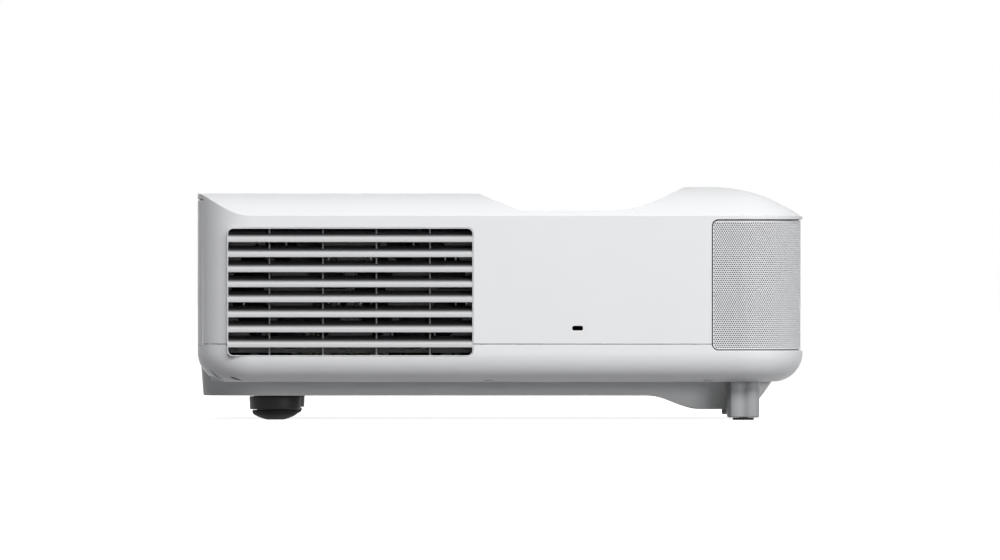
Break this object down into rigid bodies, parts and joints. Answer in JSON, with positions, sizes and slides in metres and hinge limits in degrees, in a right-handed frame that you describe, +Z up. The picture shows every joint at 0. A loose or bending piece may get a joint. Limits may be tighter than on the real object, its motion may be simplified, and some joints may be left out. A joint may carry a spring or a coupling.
{
  "type": "home projector",
  "caption": "Low, wide projector that stands below a screen and throws its picture up and back from a window in its top.",
  "frame": {"origin": "on the resting surface, under the middle of the case", "axes": "+Z up, -Y towards the room (speaker side), +Y towards the wall (socket side), +X towards the filter side"},
  "size_m": [0.467, 0.4, 0.154],
  "materials": {
    "white_shell": "fine satin texture",
    "grey_base": "fine matte texture",
    "black_plastic": "matte",
    "grille_metal": "satin, perforated",
    "window_glass": "coated, polished",
    "lens_glass": "polished",
    "mirror": "front-coated",
    "rubber": "matte",
    "steel": "zinc plated",
    "aluminium": "cast and extruded",
    "copper": "satin",
    "board": "solder mask",
    "components": "mixed",
    "filter_fleece": "pleated",
    "phosphor": "coated"
  },
  "bodies": {
    "case": {"upper_case": "white_shell", "lower_case": "white_shell", "base_pan": "grey_base", "rear_panel": "white_shell", "window_frame": "black_plastic", "window_glass": "window_glass", "exhaust_grille": "white_shell", "speaker_grille": "grille_metal", "grille_carrier": "black_plastic", "filter_frame": "black_plastic", "indicator_window": "black_plastic", "security_plate": "steel", "front_post_left": "grey_base", "front_post_right": "grey_base", "front_tip_left": "rubber", "front_tip_right": "rubber", "case_screws": "steel", "panel_screws": "steel", "optical_base": "aluminium", "laser_module": "aluminium", "wheel_motor": "components", "dichroic_mirrors": "lens_glass", "relay_lenses": "lens_glass", "image_panels": "components", "cross_prism": "lens_glass", "lens_barrel": "black_plastic", "front_lens": "lens_glass", "concave_mirror": "mirror", "mirror_holder": "black_plastic", "laser_heat_sink": "aluminium", "heat_pipes": "copper", "exhaust_fan_rear": "black_plastic", "exhaust_fan_front": "black_plastic", "intake_fan": "black_plastic", "main_board": "board", "power_board": "board", "power_parts": "components", "ac_inlet": "black_plastic", "hdmi_ports": "components", "usb_ports": "steel", "audio_ports": "black_plastic", "speaker_box_left": "black_plastic", "speaker_box_right": "black_plastic", "speaker_cone_left": "components", "speaker_cone_right": "components"},
    "rear_fan_rotor": {"exhaust_rotor_rear": "black_plastic"},
    "front_fan_rotor": {"exhaust_rotor_front": "black_plastic"},
    "intake_fan_rotor": {"intake_rotor": "black_plastic"},
    "colour_wheel": {"phosphor_wheel": "phosphor"},
    "focus_slider": {"focus_carriage": "aluminium", "focus_lens": "lens_glass", "focus_tab": "black_plastic"},
    "filter_door": {"filter_cover": "white_shell", "air_filter": "filter_fleece"},
    "power_key": {"power_button": "white_shell"},
    "source_key": {"source_button": "white_shell"},
    "left_foot_pad": {"rear_pad_left": "rubber"},
    "left_foot_knob": {"rear_knob_left": "black_plastic"},
    "right_foot_pad": {"rear_pad_right": "rubber"},
    "right_foot_knob": {"rear_knob_right": "black_plastic"}
  },
  "joints": [
    {"name": "rear_fan_spin", "type": "hinge", "parent": "case", "child": "rear_fan_rotor", "pos_m": [-0.2095, 0.1391, 0.08455], "axis": [1, 0, 0], "continuous": true},
    {"name": "front_fan_spin", "type": "hinge", "parent": "case", "child": "front_fan_rotor", "pos_m": [-0.2095, 0.0589, 0.08455], "axis": [1, 0, 0], "continuous": true},
    {"name": "intake_fan_spin", "type": "hinge", "parent": "case", "child": "intake_fan_rotor", "pos_m": [0.2, 0.004, 0.08455], "axis": [1, 0, 0], "continuous": true},
    {"name": "wheel_spin", "type": "hinge", "parent": "case", "child": "colour_wheel", "pos_m": [-0.046, 0.104, 0.084], "axis": [1, 0, 0], "continuous": true},
    {"name": "focus_slide", "type": "slide", "parent": "case", "child": "focus_slider", "axis": [0, 1, 0], "range_m": [-0.003, 0.003]},
    {"name": "filter_door_hinge", "type": "hinge", "parent": "case", "child": "filter_door", "pos_m": [0.231, -0.008, 0.0565], "axis": [0, 1, 0], "range_deg": [0, 90]},
    {"name": "power_press", "type": "slide", "parent": "case", "child": "power_key", "axis": [-1, 0, 0], "range_m": [0, 0.0008], "stiffness_N_per_m": 800, "springref_m": -0.001},
    {"name": "source_press", "type": "slide", "parent": "case", "child": "source_key", "axis": [-1, 0, 0], "range_m": [0, 0.0008], "stiffness_N_per_m": 800, "springref_m": -0.001},
    {"name": "left_foot_slide", "type": "slide", "parent": "case", "child": "left_foot_pad", "axis": [0, 0, -1], "range_m": [0, 0.006]},
    {"name": "left_foot_turn", "type": "hinge", "parent": "left_foot_pad", "child": "left_foot_knob", "pos_m": [-0.16, 0.1491, 0.012], "axis": [0, 0, -1], "range_deg": [0, 1080]},
    {"name": "right_foot_slide", "type": "slide", "parent": "case", "child": "right_foot_pad", "axis": [0, 0, -1], "range_m": [0, 0.006]},
    {"name": "right_foot_turn", "type": "hinge", "parent": "right_foot_pad", "child": "right_foot_knob", "pos_m": [0.16, 0.1491, 0.012], "axis": [0, 0, -1], "range_deg": [0, 1080]}
  ],
  "couplings": [
    {"joint": "left_foot_slide", "follows": "left_foot_turn", "m_per_rad": 0.0003183},
    {"joint": "right_foot_slide", "follows": "right_foot_turn", "m_per_rad": 0.0003183}
  ]
}
